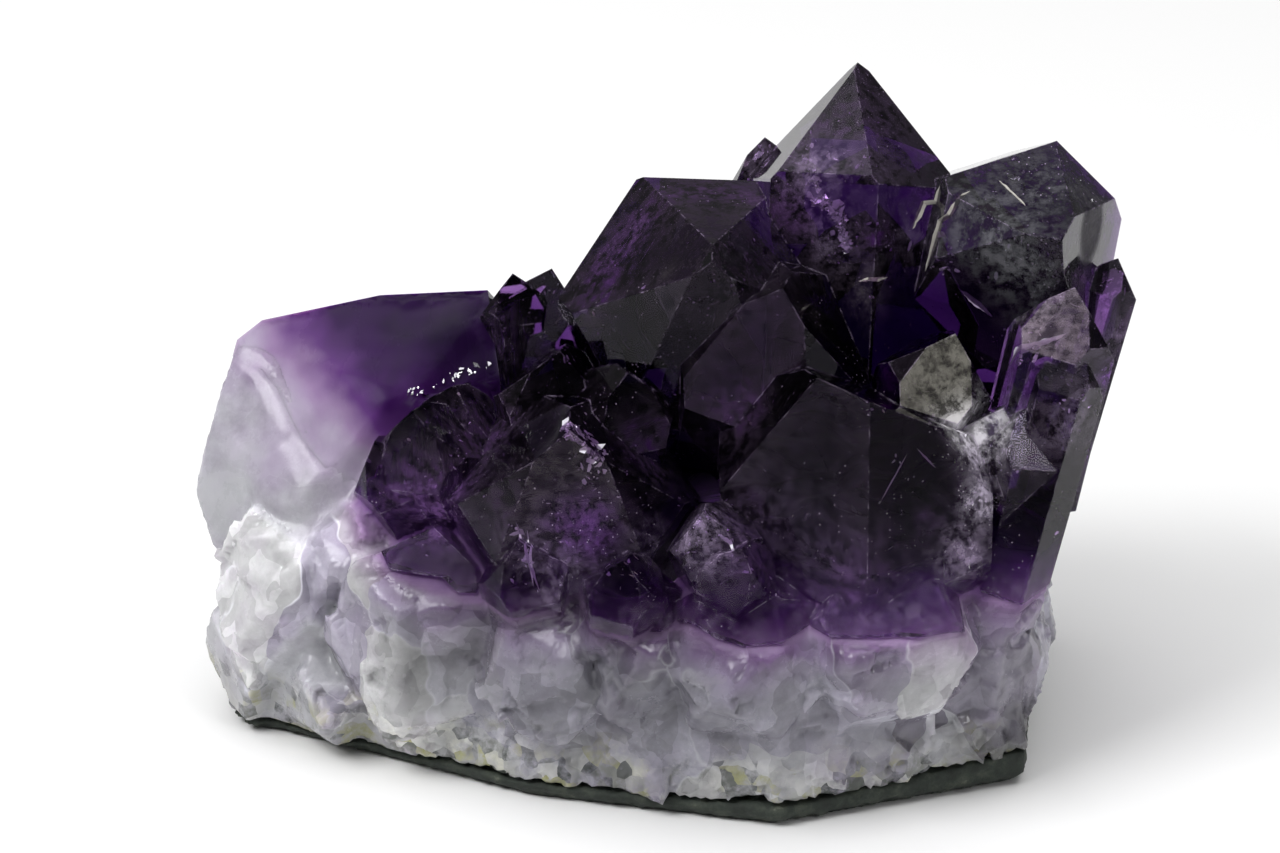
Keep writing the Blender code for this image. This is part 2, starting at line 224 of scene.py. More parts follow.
class Finish:
    """A material under construction."""

    def __init__(self, name):
        self.material = bpy.data.materials.new(name)
        self.material.use_nodes = True
        self.tree = self.material.node_tree
        self.tree.nodes.clear()
        self.shader = self.add("ShaderNodeBsdfPrincipled")
        self.out = self.add("ShaderNodeOutputMaterial")
        self.tree.links.new(self.shader.outputs["BSDF"], self.out.inputs["Surface"])
        self.place = self.add("ShaderNodeNewGeometry").outputs["Position"]

    def add(self, kind, **settings):
        node = self.tree.nodes.new(kind)
        for key, value in settings.items():
            setattr(node, key, value)
        return node

    def fixed(self, **values):
        for key, value in values.items():
            self.shader.inputs[key.replace("_", " ")].default_value = value

    def link(self, source, target):
        self.tree.links.new(source, target)

    def attribute(self, name):
        return self.add("ShaderNodeAttribute", attribute_name=name).outputs["Fac"]

    def noise(self, scale, detail=4.0, roughness=0.5, stretch=None):
        """Cloudy noise; a stretch above one squeezes it along that axis, and one below draws it out."""
        node = self.add("ShaderNodeTexNoise")
        node.inputs["Scale"].default_value = scale
        node.inputs["Detail"].default_value = detail
        node.inputs["Roughness"].default_value = roughness
        place = self.place
        if stretch:
            squeeze = self.add("ShaderNodeMapping")
            squeeze.inputs["Scale"].default_value = stretch
            squeeze.inputs["Rotation"].default_value = (0.3, 0.5, 0.2)
            self.link(place, squeeze.inputs["Vector"])
            place = squeeze.outputs["Vector"]
        self.link(place, node.inputs["Vector"])
        return node.outputs["Fac"]

    def grains(self, scale, feature="F1", place=None):
        """Irregular cells, about one over the scale in metres across."""
        node = self.add("ShaderNodeTexVoronoi", feature=feature)
        node.inputs["Scale"].default_value = scale
        self.link(place or self.place, node.inputs["Vector"])
        return node

    def warped(self, amount, stretch):
        """The place, squeezed and pushed about a little, so that straight borders wander."""
        squeeze = self.add("ShaderNodeMapping")
        squeeze.inputs["Scale"].default_value = stretch
        self.link(self.place, squeeze.inputs["Vector"])
        turn = self.add("ShaderNodeTexNoise")
        turn.inputs["Scale"].default_value = 150
        self.link(self.place, turn.inputs["Vector"])
        push = self.add("ShaderNodeVectorMath", operation="MULTIPLY_ADD")
        self.link(turn.outputs["Color"], push.inputs[0])
        push.inputs[1].default_value = (amount, amount, amount)
        self.link(squeeze.outputs["Vector"], push.inputs[2])
        return push.outputs["Vector"]

    def facets(self, cells, place):
        """Height of small flat facets, one to a grain, tilted at random."""
        away = self.add("ShaderNodeVectorMath", operation="SUBTRACT")
        self.link(place, away.inputs[0])
        self.link(cells.outputs["Position"], away.inputs[1])
        lean = self.add("ShaderNodeVectorMath", operation="SUBTRACT")
        self.link(cells.outputs["Color"], lean.inputs[0])
        lean.inputs[1].default_value = (0.5, 0.5, 0.5)
        rise = self.add("ShaderNodeVectorMath", operation="DOT_PRODUCT")
        self.link(away.outputs["Vector"], rise.inputs[0])
        self.link(lean.outputs["Vector"], rise.inputs[1])
        return self.sum("MULTIPLY", rise.outputs["Value"], 1000)

    def ramp(self, source, *stops):
        """Tones by value; each stop is a position with a colour or a grey."""
        node = self.add("ShaderNodeValToRGB")
        band = node.color_ramp
        while len(band.elements) < len(stops):
            band.elements.new(0.5)
        for element, (position, colour) in zip(band.elements, stops):
            element.position = position
            element.color = (*colour, 1) if isinstance(colour, tuple) else (colour, colour, colour, 1)
        self.link(source, node.inputs["Fac"])
        return node.outputs["Color"]

    def sum(self, operation, first, second):
        node = self.add("ShaderNodeMath", operation=operation)
        for socket, value in zip(node.inputs, (first, second)):
            if isinstance(value, (int, float)):
                socket.default_value = value
            else:
                self.link(value, socket)
        return node.outputs["Value"]

    def blend(self, share, first, second, blend_type="MIX"):
        node = self.add("ShaderNodeMix", data_type="RGBA", blend_type=blend_type)
        for socket, value in zip((node.inputs[0], node.inputs[6], node.inputs[7]), (share, first, second)):
            if isinstance(value, (int, float)):
                socket.default_value = value
            elif isinstance(value, tuple):
                socket.default_value = (*value, 1)
            else:
                self.link(value, socket)
        return node.outputs[2]

    def combined(self, value):
        """The same number in all three channels, without a limit at one."""
        node = self.add("ShaderNodeCombineXYZ")
        for socket in node.inputs:
            self.link(value, socket)
        return node.outputs["Vector"]

    def bump(self, height, strength, depth, normal=None):
        node = self.add("ShaderNodeBump")
        node.inputs["Strength"].default_value = strength
        node.inputs["Distance"].default_value = depth * MM
        self.link(height, node.inputs["Height"])
        if normal:
            self.link(normal, node.inputs["Normal"])
        return node.outputs["Normal"]


def stone_colour(finish):
    """White, lavender, purple and near-black, by how much amethyst there is."""
    return finish.ramp(finish.attribute("purple"),
                       (0.0, (0.70, 0.70, 0.75)), (0.2, (0.60, 0.53, 0.68)), (0.38, (0.37, 0.24, 0.45)),
                       (0.55, (0.15, 0.048, 0.25)), (0.75, (0.045, 0.008, 0.095)),
                       (1.0, (0.012, 0.002, 0.03)))


def milky_quartz():
    f = Finish("milky quartz")
    colour = stone_colour(f)
    haze = f.noise(140, 7, 0.68)
    colour = f.blend(0.7, colour, f.ramp(haze, (0.3, 0.5), (0.52, 0.88), (0.7, 1.0)), "MULTIPLY")
    columns = f.warped(0.005, (1.0, 1.0, 0.55))
    pieces = f.grains(100, place=columns)
    chips = f.grains(330, place=columns)
    rugged = f.attribute("rugged")
    body_tone = f.ramp(pieces.outputs["Color"], (0.25, (0.50, 0.47, 0.53)), (0.4, (0.90, 0.88, 0.95)),
                       (0.52, (0.70, 0.68, 0.75)), (0.62, (1.0, 1.0, 1.0)), (0.78, (0.80, 0.80, 0.76)))
    chip_tone = f.ramp(chips.outputs["Color"], (0.25, 0.74), (0.7, 1.0))
    colour = f.blend(rugged, colour, f.blend(1.0, body_tone, chip_tone, "MULTIPLY"), "MULTIPLY")
    cracks = f.grains(100, "DISTANCE_TO_EDGE", columns)
    line = f.ramp(cracks.outputs["Distance"], (0.0, 1.0), (0.022, 0.0))
    patch = f.ramp(f.noise(110, 2), (0.45, 0.0), (0.6, 0.55))
    colour = f.blend(f.sum("MULTIPLY", f.sum("MULTIPLY", line, rugged), patch), colour, (0.80, 0.80, 0.86))
    # Painted shade: the lumps are darkened in their dents, where the creases between them lie.
    crease_shade = f.attribute("crease_shade")
    colour = f.blend(crease_shade, colour, f.blend(0.6, colour, (0.30, 0.28, 0.34), "MULTIPLY"))
    foot = f.attribute("foot")
    shades = f.ramp(f.grains(480, place=f.warped(0.003, (1, 1, 1))).outputs["Color"],
                    (0.2, (0.03, 0.04, 0.03)), (0.36, (0.22, 0.23, 0.20)),
                    (0.52, (0.62, 0.62, 0.60)), (0.64, (0.80, 0.80, 0.78)), (0.74, (0.42, 0.42, 0.20)))
    dirt = f.sum("MULTIPLY", foot, f.ramp(f.noise(300, 5, 0.65), (0.42, 0.15), (0.58, 0.95)))
    colour = f.blend(dirt, colour, shades)
    # The quartz's own brightness is multiplied in here, together with painted shade that falls away from
    # the light on the left.
    colour = f.blend(1.0, colour, f.combined(f.attribute("milk_and_shade")), "MULTIPLY")
    f.link(colour, f.shader.inputs["Base Color"])
    rough = f.sum("MAXIMUM", f.ramp(haze, (0.35, 0.12), (0.65, 0.36)), f.attribute("within"))
    f.link(rough, f.shader.inputs["Roughness"])
    fine = f.bump(f.sum("MULTIPLY", f.facets(chips, columns), rugged), 0.4, 0.5)
    broad = f.bump(f.sum("MULTIPLY", f.facets(pieces, columns), rugged), 0.6, 0.8, fine)
    f.link(broad, f.shader.inputs["Normal"])
    f.fixed(IOR=1.54, Specular_Tint=(0.6, 0.6, 0.62, 1))
    f.fixed(Subsurface_Weight=0.5, Subsurface_Radius=(1.0, 0.85, 1.0), Subsurface_Scale=2 * MM)
    return f.material


bed = copied("milky_quartz", ("quartz_bed", 0), ("amethyst_crystals", -SEAM))
worked_skin(bed, GRAIN)
points = numbers(bed.data.vertices, "co") / MM
outward = numbers(bed.data.vertex_normals, "vector")
whole = bmesh.new()
whole.from_mesh(bed.data)
skin = BVHTree.FromBMesh(whole)
whole.free()
# Above the boundary the skin draws in, so that it ends as roots inside the clear crystals.
above = points[:, 2] - root_height(points[:, 0], points[:, 1])
inset = np.where(above > -0.4, 0.1 + 0.16 * np.clip(above, 0, 12), -0.05)
in_block = block_share(points)
inset = inset * (1 - in_block) + in_block * np.interp(above, [-0.5, 1.5, 4], [-0.2, 0.0, 2.2])
# Broken facets cover the front, and the foot is lumpy and granular.
foot = 1 - smooth((points[:, 2] - 3.5 - 3 * cloud(points, 7, 4)) / 8)
swell = foot * (0.35 * cloud(points, 1.1, 5) + 0.3 * cloud(points, 3, 6))
swell += broken_facets(points, 5.0, 0.09, 41) + (0.25 + 0.75 * foot) * broken_facets(points, 1.8, 0.13, 42)
swell *= (1 - smooth((above + 2) / 2.5)) * (1 - 0.85 * in_block)
# Painted shade for the creases: how deep each point lies in a dent.
crease_shade = smooth((hollows(bed.data, points, outward, 40) - 0.1) / 0.9) * (1 - in_block)
points += outward * (swell - inset)[:, None]
above = points[:, 2] - root_height(points[:, 0], points[:, 1])
limit = ROOT_TOP + 1.5 * cloud(points, 6, 8) + 30 * in_block
points[:, 2] -= np.clip(above - limit, 0, None)
points[:, 2] = np.clip(points[:, 2], 0, None)
for i in np.flatnonzero((above > 0.5) & (in_block < 0.5)):
    near, facing, _, _ = skin.find_nearest(Vector(points[i]) * MM)
    if (Vector(points[i]) * MM - near).dot(facing) > -UNDER * MM:
        points[i] = (near - facing * UNDER * MM) / MM
move_to(bed.data, points)
record(bed.data, "purple", purple(points))
record(bed.data, "foot", foot)
within = smooth((above + 1) / 1.5) * (1 - in_block)
record(bed.data, "within", within)
record(bed.data, "rugged", 1 - np.maximum(within, 0.85 * in_block))
record(bed.data, "crease_shade", crease_shade * (1 - within))
# Brightness of the quartz, partly painted shade from the light on the left.
record(bed.data, "milk_and_shade", milkiness_and_shade(points))
bed.data.shade_smooth()
bed.data.materials.clear()
bed.data.materials.append(milky_quartz())
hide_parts("quartz_bed")
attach(bed, "root")

# The amethyst crystals. They are six-sided quartz points grown from the bed and into each other:
# clear glassy faces, near-black where they are thick, purple and misty at their rims and roots.
# The block at the left end is one broken crystal, with a smooth, wavy, satiny fracture.
FINEST = 1.3  # the longest edge after the faces are divided
NEAR_BLOCK = 0.35  # within this of a plane of the block, a point is on its face
SHARP = 0.6  # radians between two faces whose edge counts as sharp
WORN = 0.25  # the radius of the worn edges
EVENING = 14  # rounds that even out the fracture
LILAC, PURPLE, VIOLET = (0.54, 0.42, 0.64), (0.30, 0.14, 0.44), (0.30, 0.06, 0.58)
# The beige is painted sheen for faces that reflect the light, and the white a painted highlight on frosted
# faces.
GREY, SHEEN_BEIGE, HIGHLIGHT_WHITE = (0.40, 0.40, 0.44), (0.50, 0.48, 0.42), (0.78, 0.76, 0.80)
PINK, PLUM, PALE = (0.66, 0.52, 0.66), (0.20, 0.13, 0.25), (0.62, 0.54, 0.70)
# The near-black is painted shade, put where the glass only looks dark.
SHADE_DARK, SMOKE = (0.012, 0.008, 0.016), (0.05, 0.048, 0.055)
# Where mist and fine cracks cloud the glass, with painted shade in the near-black patches, painted sheen
# in the beige ones and a painted highlight on frosted faces in the white ones: place, reach, how much,
# what colour.
VEILS = [
    ((21, 8, 70), 9, 0.09, PURPLE), ((17.8, 3.7, 68.8), 3.5, 0.2, LILAC),
    ((24.1, 2.7, 69.8), 3, 0.04, LILAC), ((11.3, 17.7, 64.6), 4, 0.1, LILAC),
    ((-6.5, 1, 58), 4, 0.12, PURPLE), ((-3, 3, 61.5), 4, 0.13, PURPLE), ((1, 6, 64.5), 3, 0.1, PURPLE),
    ((6, 7.5, 64.5), 3, 0.08, PURPLE), ((11, 5, 64.5), 3, 0.09, PURPLE),
    ((16, 1.5, 63.5), 3.5, 0.12, PURPLE), ((20, -1.3, 61), 3, 0.12, LILAC),
    ((-6, -3, 55), 4, 0.07, VIOLET), ((24.5, -2.5, 61.9), 2.2, 0.08, VIOLET),
    ((24, -4.6, 56.5), 3, 0.06, SHEEN_BEIGE), ((1.5, -9.5, 60), 1.5, 0.06, SHEEN_BEIGE),
    ((37, -4, 63), 5, 0.17, GREY), ((41, -6, 60), 5, 0.16, GREY), ((43, -6, 56), 4, 0.13, GREY),
    ((44, 1, 67), 4, 0.08, GREY), ((30, 2, 61), 3, 0.1, LILAC), ((50, 3, 64), 4, 0.05, GREY),
    ((35.6, -19.5, 42.3), 2.0, 0.7, PALE), ((36.3, -21.8, 38), 2.0, 0.8, PALE),
    ((34, -24, 32), 3, 0.5, LILAC), ((21, -29.8, 30.6), 6, 0.17, PURPLE),
    ((8.9, -15.3, 46.2), 3.5, 0.12, PURPLE), ((6.5, -11, 39), 3, 0.1, PURPLE),
    ((10, -25, 38), 5, 0.09, PURPLE), ((9.8, -29.7, 34.3), 4, 0.14, PURPLE),
    ((30.3, -24.7, 36.8), 2.2, 0.08, PURPLE), ((33.3, -18.4, 45.1), 2.2, 0.9, HIGHLIGHT_WHITE),
    ((36.8, -16.5, 44.9), 3.0, 0.75, HIGHLIGHT_WHITE), ((50, 1, 62), 5, 1.2, SHADE_DARK), ((6, -9, 62), 5, 0.4, SHADE_DARK),
    ((40, 8, 70), 7, 0.5, SMOKE), ((54, -4, 44), 8, 0.3, PLUM), ((36, 0, 66), 6, 0.2, SMOKE),
    ((-20, -8, 40), 4, 0.14, PURPLE), ((-11.6, -26, 28.6), 4, 0.16, LILAC),
    ((-18, -24, 37), 4, 0.09, PURPLE), ((-15, -25, 32), 3, 0.1, LILAC),
    ((-9, -23.5, 35), 4, 0.25, VIOLET), ((-1, -14, 41), 4, 0.1, VIOLET),
    ((4.2, -27.5, 35.7), 3.5, 0.4, LILAC), ((47.5, -17.9, 46.1), 4, 0.24, LILAC),
    ((42.5, -11.5, 55), 2, 0.2, PINK), ((53.3, -0.2, 49.6), 3, 0.16, LILAC),
    ((40.7, -19.3, 43), 3, 0.12, LILAC), ((51.4, -11.9, 49), 1.6, 0.5, VIOLET),
    ((-26, -11, 33), 5, 0.65, PURPLE), ((-23, 2, 45), 5, 0.1, PURPLE),
    ((-1.5, -22.6, 32.6), 3, 0.12, LILAC),
]
# Single faces with a painted sheen of their own, a pale film that stands in for the light each face
# reflects: a place on the face, how much, what colour.
SHEEN_FILMS = [
    ((31.6, -15.3, 51.8), 0.3, SHEEN_BEIGE), ((42.5, -11.5, 55), 0.16, PINK),
    ((-11.5, -22, 44.8), 0.05, SHEEN_BEIGE), ((37.1, -4.7, 63.4), 0.03, GREY),
    ((39.6, 3.6, 67.6), 0.04, GREY), ((-4, 0, 60), 0.02, PURPLE), ((4.3, -7, 65), 0.01, GREY),
    ((19.8, -27.1, 46.7), 0.022, GREY), ((28, -24, 45), 0.004, GREY), ((9, -16, 47), 0.04, PURPLE),
    ((0.4, 5.1, 64.5), 0.04, PURPLE), ((49, -13, 50), 0.1, LILAC),
]


def divided(mesh, longest):
    """Divide the flat faces into small triangles, leaving their shape as it was."""
    body = bmesh.new()
    body.from_mesh(mesh)
    bmesh.ops.triangulate(body, faces=body.faces[:])
    for _ in range(8):
        long = [e for e in body.edges if e.calc_length() > longest * MM]
        if not long:
            break
        bmesh.ops.subdivide_edges(body, edges=long, cuts=1)
        bmesh.ops.triangulate(body, faces=[f for f in body.faces if len(f.verts) > 3])
    body.to_mesh(mesh)
    body.free()


def edge_distance(mesh, points):
    """How far each point lies from the nearest sharp outer edge, in millimetres."""
    body = bmesh.new()
    body.from_mesh(mesh)
    along = []
    for edge in body.edges:
        if edge.is_manifold and edge.is_convex and edge.calc_face_angle() > SHARP:
            first, last = (v.co / MM for v in edge.verts)
            count = max(1, round((last - first).length / 0.5))
            along += [first.lerp(last, i / count) for i in range(count + 1)]
    body.free()
    tree = KDTree(len(along))
    for i, place in enumerate(along):
        tree.insert(place, i)
    tree.balance()
    return np.array([tree.find(p)[2] for p in points])


def veils_and_painted_light(points):
    """The colour of the mist and of the painted shade, sheen and highlight patches at each point, with how
    thick it is as the fourth number.
    """
    above = points[:, 2] - root_height(points[:, 0], points[:, 1])
    weight = 0.1 * smooth((5 + 3 * cloud(points, 3.5, 15) - above) / 6)
    total = weight[:, None] * np.array(LILAC)
    for place, reach, strength, colour in VEILS:
        share = strength * np.exp(-(np.linalg.norm(points - place, axis=1) / reach) ** 2)
        weight = weight + share
        total = total + share[:, None] * np.array(colour)
    return np.column_stack([total / np.maximum(weight, 1e-6)[:, None], np.clip(weight, 0, 1.3)])


def facet_sheen_films(mesh):
    """The painted sheen on every flat face, a film that stands in for reflected light, as colour and
    amount, so that neighbouring faces differ a little.
    """
    normals = numbers(mesh.polygons, "normal")
    centres = numbers(mesh.polygons, "center") / MM
    reach = np.einsum("ij,ij->i", normals, centres)
    # Triangles that lie in one plane, and so belong to one crystal face, share a key.
    keys = np.round(np.column_stack([normals * 12, reach / 1.5])).astype(int)
    _, which = np.unique(keys, axis=0, return_inverse=True)
    which = which.ravel()
    # Painted sheen: a little film on random faces, so that their reflections differ.
    sheen_film = 0.018 * np.random.default_rng(61).uniform(0, 1, which.max() + 1) ** 3
    shown = np.column_stack([np.tile(GREY, (len(which), 1)), sheen_film[which]])
    for place, amount, colour in SHEEN_FILMS:
        away = np.linalg.norm(centres - place, axis=1)
        here = np.argmin(away)
        same = (normals @ normals[here] > 0.99) & (np.abs(reach - reach[here]) < 0.4) & (away < 16)
        shown[same] = (*colour, amount)
    return shown


def clear_amethyst():
    f = Finish("amethyst")
    # Painted shade: the tint darkens away from the sharp edges, standing in for thick glass that lets
    # little light through; the purple is the amethyst's own.
    tint = f.ramp(f.attribute("deep"), (0.0, (0.66, 0.47, 0.76)),
                  (0.5, (0.42, 0.27, 0.52)), (1.0, (0.20, 0.13, 0.26)))
    smoke = f.noise(75, 3, 0.65, (1.0, 2.0, 0.7))
    grit = f.noise(600, 3, 0.75)
    mottle = f.ramp(grit, (0.4, 0.1), (0.54, 0.8), (0.64, 1.4))
    # The veil colour holds mist together with painted shade, sheen and highlight patches.
    mist_and_painted_light = f.add("ShaderNodeAttribute", attribute_name="veil_and_painted_light")
    sheen_film = f.add("ShaderNodeAttribute", attribute_name="sheen_film")
    patches = f.sum("MULTIPLY", f.ramp(smoke, (0.3, 0.5), (0.62, 1.0)), mottle)
    misty_and_painted = f.sum("MULTIPLY", mist_and_painted_light.outputs["Alpha"], patches)
    # Painted sheen: each face's film, mottled.
    sheen_filmy = f.sum("MULTIPLY", sheen_film.outputs["Alpha"], f.ramp(grit, (0.4, 0.25), (0.6, 1.0)))
    rounding = f.add("ShaderNodeBevel", samples=2)
    rounding.inputs["Radius"].default_value = WORN * MM
    flat = f.add("ShaderNodeNewGeometry").outputs["True Normal"]
    square = f.add("ShaderNodeVectorMath", operation="DOT_PRODUCT")
    f.link(rounding.outputs["Normal"], square.inputs[0])
    f.link(flat, square.inputs[1])
    # Pale rubbed edges: partly real wear, partly a painted highlight along the ridges.
    worn_and_glinting = f.sum("MULTIPLY", f.ramp(square.outputs["Value"], (0.86, 1.0), (0.985, 0.0)),
                 f.ramp(grit, (0.46, 0.0), (0.6, 0.45)))
    dust = f.grains(1300)
    specks = f.sum("MULTIPLY", f.ramp(dust.outputs["Distance"], (0.08, 0.5), (0.13, 0.0)),
                   f.ramp(smoke, (0.48, 0.0), (0.6, 1.0)))
    pale = f.sum("ADD", f.sum("ADD", sheen_filmy, worn_and_glinting), specks)
    # How much of the glass is clouded: mist, dust and edge wear, together with painted sheen, highlights
    # and shade.
    cloudy_and_painted = f.sum("MINIMUM", f.sum("ADD", misty_and_painted, pale), 0.9)
    sheen_film_share = f.sum("DIVIDE", sheen_filmy, f.sum("ADD", cloudy_and_painted, 0.0001))
    hue = f.blend(sheen_film_share, mist_and_painted_light.outputs["Color"], sheen_film.outputs["Color"])
    hue = f.blend(f.sum("MINIMUM", f.sum("MULTIPLY", f.sum("ADD", worn_and_glinting, specks), 3), 1), hue, LILAC)
    shown = f.sum("MINIMUM", f.sum("MULTIPLY", cloudy_and_painted, 12), 1)
    f.link(f.blend(shown, tint, hue), f.shader.inputs["Base Color"])
    f.link(rounding.outputs["Normal"], f.shader.inputs["Normal"])
    satin = f.ramp(mist_and_painted_light.outputs["Alpha"], (0.35, 0.0), (0.8, 0.6))
    f.link(f.sum("MAXIMUM", f.ramp(smoke, (0.4, 0.02), (0.75, 0.08)), satin), f.shader.inputs["Roughness"])
    f.link(f.sum("SUBTRACT", 1, cloudy_and_painted), f.shader.inputs["Transmission Weight"])
    f.fixed(IOR=1.54, Specular_Tint=(0.12, 0.11, 0.14, 1))
    soak = f.add("ShaderNodeVolumeAbsorption")
    soak.inputs["Color"].default_value = (0.41, 0.17, 0.55, 1)
    soak.inputs["Density"].default_value = 290
    f.link(soak.outputs["Volume"], f.out.inputs["Volume"])
    return f.material


def broken_face():
    f = Finish("broken amethyst face")
    colour = stone_colour(f)
    wisp = f.noise(90, 6, 0.6, (1.6, 0.7, 0.8))
    colour = f.blend(0.5, colour, f.ramp(wisp, (0.3, 0.5), (0.7, 1.0)), "MULTIPLY")
    # The stone's own brightness is multiplied in here, together with painted shade that falls away from
    # the light on the left.
    colour = f.blend(1.0, colour, f.combined(f.attribute("milk_and_shade")), "MULTIPLY")
    f.link(colour, f.shader.inputs["Base Color"])
    f.link(f.bump(f.noise(420, 4), 0.12, 0.3), f.shader.inputs["Normal"])
    f.link(f.ramp(wisp, (0.3, 0.2), (0.7, 0.38)), f.shader.inputs["Roughness"])
    f.fixed(IOR=1.54, Specular_Tint=(0.07, 0.065, 0.08, 1))
    f.fixed(Subsurface_Weight=0.4, Subsurface_Radius=(1.0, 0.7, 1.0), Subsurface_Scale=2 * MM)
    return f.material


crystals = copied("amethyst", ("amethyst_crystals", 0))
crystals.data.materials.clear()
crystals.data.materials.append(clear_amethyst())
crystals.data.materials.append(broken_face())
divided(crystals.data, FINEST)
points = numbers(crystals.data.vertices, "co") / MM
edge = edge_distance(crystals.data, points)
on_block = np.abs(block_depth(points)) < NEAR_BLOCK
body = bmesh.new()
body.from_mesh(crystals.data)
body.verts.ensure_lookup_table()
broken = [face for face in body.faces if all(on_block[v.index] for v in face.verts)]
for face in body.faces:
    face.smooth = False
for face in broken:
    face.material_index = 1
    face.smooth = True
chosen = set(broken)
loose = [v for v in body.verts if on_block[v.index] and all(face in chosen for face in v.link_faces)]
for _ in range(EVENING):
    bmesh.ops.smooth_vert(body, verts=loose, factor=0.5, use_axis_x=True, use_axis_y=True, use_axis_z=True)
moved = np.array([v.co[:] for v in loose]) / MM
waves = 0.5 * cloud(moved, 9, 11) + 0.22 * cloud(moved, 3.5, 12)
for vertex, wave in zip(loose, waves):
    vertex.co += vertex.normal * float(wave - 0.25) * MM
body.to_mesh(crystals.data)
body.free()
crystals.data.update()
points = numbers(crystals.data.vertices, "co") / MM
amount = purple(points)
record(crystals.data, "purple", amount)
# Brightness of the stone, partly painted shade from the light on the left.
record(crystals.data, "milk_and_shade", milkiness_and_shade(points))
# Painted shade of thick glass: deeper far from the sharp edges and where the amethyst is purple.
record(crystals.data, "deep", smooth((edge + 1.2 * cloud(points, 5, 13)) / 6.5) * smooth(amount / 0.8))
# Mist, with painted shade, sheen and highlight patches.
mist_and_painted_light = crystals.data.attributes.new("veil_and_painted_light", "FLOAT_COLOR", "POINT")
mist_and_painted_light.data.foreach_set("color", veils_and_painted_light(points).astype(np.float32).ravel())
# Painted sheen: each flat face's film, as colour and amount.
sheen_film = crystals.data.attributes.new("sheen_film", "FLOAT_COLOR", "FACE")
sheen_film.data.foreach_set("color", facet_sheen_films(crystals.data).astype(np.float32).ravel())
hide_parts("amethyst_crystals")
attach(crystals, "root")

# The cracks inside the crystals. They are thin flat gaps in the quartz, some partly healed, which
# show as silvery flakes, misty swarms of specks and a few long pale slivers just under the faces.
FLAKES = 5200  # at most
TRIED = 60000  # places on the faces where a flake may lie
BRIGHT_WAY = [-0.38, -0.7, 0.6]  # what the rows of bright chips face, towards the upper left front
PALE_CRACK, SILVERY_CRACK, BEIGE_CRACK, LILAC_CRACK = range(4)
# Rows of bright chips: both ends, how many, how far they stray, the largest size.
TRAILS = [
    ((17.0, 6, 68.5), (18.4, 1.3, 65.4), 40, 0.5, 0.6),
    ((18.4, 1.3, 65.4), (20.4, -0.1, 64), 36, 0.3, 0.8),
    ((20.4, -0.1, 64), (21.4, -1.9, 60.6), 50, 0.25, 0.7),
    ((15.5, 7, 69.5), (21, 3, 71), 22, 1.0, 0.35),
    ((-10.4, -20.4, 47.3), (-6.5, -21.8, 43.6), 46, 0.7, 0.75),
    ((-7, -23, 44), (-8.5, -23.6, 40), 26, 0.6, 0.5),
    ((-16.7, -23.5, 35.6), (-13.9, -26.2, 28.7), 12, 0.3, 0.5),
    ((-24.9, -0.6, 43.6), (-20.9, 2.2, 44.4), 18, 0.4, 0.5),
    ((-24, -13, 36), (-23.5, -13.5, 34.5), 8, 0.3, 0.4),
    ((4.3, -24.9, 37.9), (3, -28, 32.5), 16, 0.4, 0.4),
    ((39.6, 3.6, 67.6), (43.7, 0.4, 67), 16, 0.6, 0.5),
    ((48.4, 6.3, 66.9), (50.1, 1.2, 61), 22, 0.8, 0.5),
    ((34.9, -3.6, 57.6), (30, 0.5, 60), 18, 0.8, 0.4),
    ((-5.8, 0.5, 57.9), (-3.4, 2.9, 60.7), 10, 0.3, 0.4),
    ((11.3, 17.7, 64.6), (13, 17, 66.5), 14, 0.5, 0.6),
    ((33, -18.4, 45.1), (36.8, -16.5, 44.9), 24, 0.7, 0.6),
    ((40, -12.8, 50.7), (45.8, -13.4, 54.1), 20, 0.5, 0.5),
    ((-30, -3.5, 43), (-25, -1, 43.5), 14, 0.4, 0.4),
]
# Long slivers: both ends, width, and which finish.
SLIVERS = [
    ((32.5, 4.4, 66), (29.2, 1.4, 61.6), 0.9, BEIGE_CRACK),
    ((35.9, 1.1, 66.7), (30.6, -1.4, 57.4), 0.9, BEIGE_CRACK),
    ((39, 3, 67), (42, -2.5, 65.5), 0.5, BEIGE_CRACK),
    ((34.6, -3.1, 55.9), (38, -5, 52.5), 0.9, LILAC_CRACK),
    ((27.6, -24.3, 45), (24.6, -26.6, 40.1), 0.2, LILAC_CRACK),
    ((28.6, -23.7, 45.3), (31, -23.4, 42.6), 0.22, LILAC_CRACK),
    ((-16.6, -23.8, 36), (-13.9, -26.4, 28.7), 0.4, LILAC_CRACK),
    ((-15.3, -23.9, 35), (-14.6, -26, 29), 0.3, PALE_CRACK),
    ((-5.9, 0.3, 57.6), (-3.5, 2.7, 60.9), 0.3, LILAC_CRACK),
    ((-4.8, -1, 57.6), (-2.2, 2, 61.4), 0.25, LILAC_CRACK),
    ((-2.5, -3.9, 59.4), (-0.9, -2, 62), 0.25, LILAC_CRACK),
    ((39.5, -10.6, 49), (46, -12.8, 54.6), 0.9, PALE_CRACK),
    ((6.2, -27.7, 36.6), (8.4, -29, 34.8), 0.5, PALE_CRACK),
    ((22, -5.5, 58), (27, -3.5, 57.6), 0.5, BEIGE_CRACK),
]


CHIP_RIM = 5  # corners around a chip; one more lies above them and one below
CHIP_CORNERS = CHIP_RIM + 2
CHIP_FACES = 2 * CHIP_RIM


